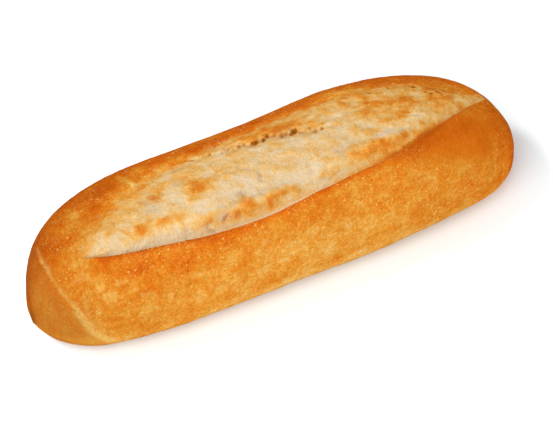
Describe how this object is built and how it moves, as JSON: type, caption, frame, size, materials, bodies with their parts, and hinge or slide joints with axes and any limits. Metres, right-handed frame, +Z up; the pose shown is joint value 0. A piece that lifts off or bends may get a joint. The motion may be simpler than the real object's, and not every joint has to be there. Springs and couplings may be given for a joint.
{
  "type": "bolillo roll",
  "caption": "Long crusty bread roll with blunt rounded ends, a flat base and a lengthwise slash burst open along the top.",
  "frame": {"origin": "middle of the flat base", "axes": "+X along the roll towards its fuller end, -Y towards the side where the slash has its standing lip, +Z up"},
  "size_m": [0.18, 0.058, 0.0433],
  "materials": {
    "crust": "baked bread crust: golden orange, satin to matte, mottled with fine pale blisters; torn pale cream crumb with toasted golden spots in the slash"
  },
  "bodies": {
    "root": {"roll": "crust"}
  },
  "joints": []
}
